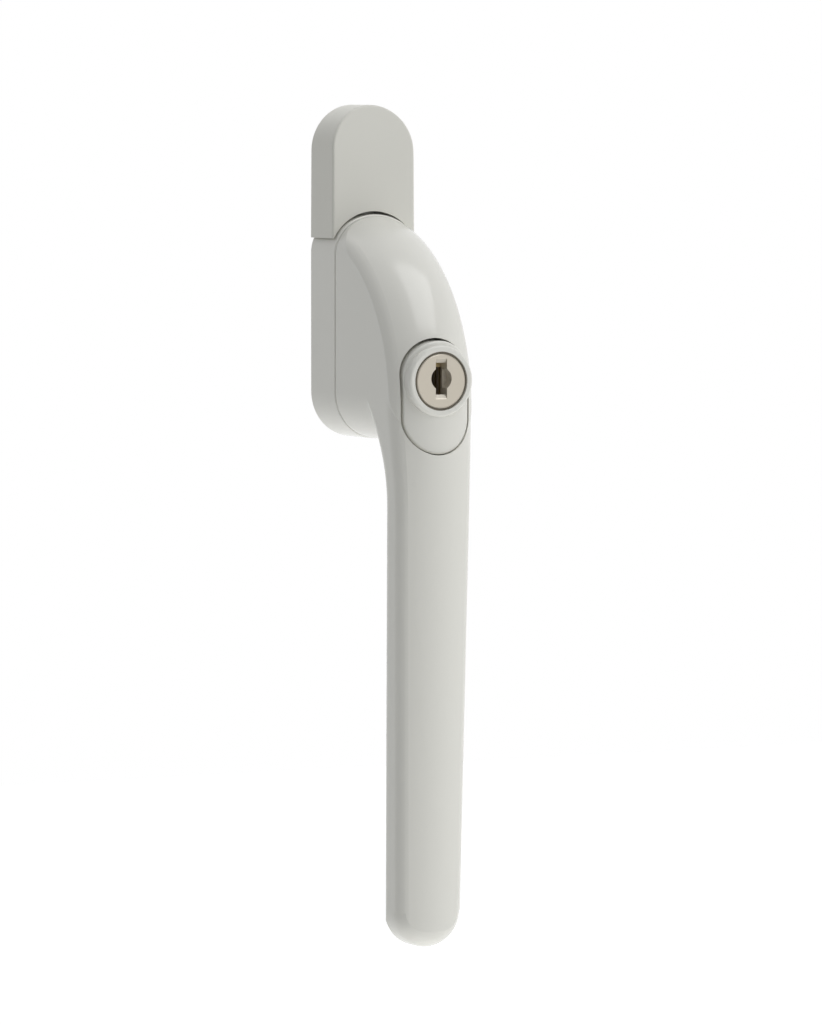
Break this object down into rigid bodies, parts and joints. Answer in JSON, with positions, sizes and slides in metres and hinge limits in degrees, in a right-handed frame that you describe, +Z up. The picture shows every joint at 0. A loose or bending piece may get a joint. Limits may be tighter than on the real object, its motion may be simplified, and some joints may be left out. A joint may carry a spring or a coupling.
{
  "type": "locking window handle",
  "caption": "Inline window handle with an arched neck and straight grip, base with a sliding screw cover, square spindle, and a push button with a key cylinder that locks the lever.",
  "frame": {"origin": "on the spindle axis, at the face that lies on the window, midway between the fixing holes", "axes": "+X to the right seen from the room, +Y into the window, +Z up towards the screw cover; the grip hangs along -Z"},
  "size_m": [0.0192, 0.0494, 0.1726],
  "materials": {
    "white_paint": "satin white powder coat on die-cast zinc",
    "white_nylon": "satin white moulding",
    "nickel_plate": "turned brass, nickel plated",
    "zinc_plated_steel": "bright zinc plate",
    "spring_steel": "drawn",
    "wafer_brass": "stamped",
    "black_acetal": "moulded"
  },
  "bodies": {
    "base": {"base_plate": "white_paint", "hub_bush": "black_acetal", "detent_spring": "spring_steel"},
    "cap": {"cover_cap": "white_nylon"},
    "lever": {"lever": "white_paint", "spindle": "zinc_plated_steel", "spindle_pin": "zinc_plated_steel", "thrust_washer": "zinc_plated_steel", "disc_spring": "spring_steel", "retaining_ring": "zinc_plated_steel", "button_spring": "spring_steel"},
    "button": {"lock_button": "white_paint", "lock_sleeve": "nickel_plate", "lock_pin": "zinc_plated_steel", "pin_clip": "zinc_plated_steel"},
    "plug": {"lock_plug": "nickel_plate", "wafer_tumblers": "wafer_brass", "wafer_springs": "spring_steel", "lock_cam": "zinc_plated_steel", "cam_screw": "zinc_plated_steel"}
  },
  "joints": [
    {"name": "lever_turn", "type": "hinge", "parent": "base", "child": "lever", "pos_m": [0, 0, 0], "axis": [0, 1, 0], "range_deg": [-90, 90], "deforming": ["detent_spring"]},
    {"name": "button_push", "type": "slide", "parent": "lever", "child": "button", "axis": [0, 1, 0], "range_m": [0, 0.003], "stiffness_N_per_m": 1000, "springref_m": -0.003, "deforming": ["button_spring"]},
    {"name": "plug_turn", "type": "hinge", "parent": "button", "child": "plug", "pos_m": [0, 0, -0.0215], "axis": [0, 1, 0], "range_deg": [0, 90]},
    {"name": "cap_slide", "type": "slide", "parent": "base", "child": "cap", "axis": [0, 0, 1], "range_m": [0, 0.034]}
  ]
}
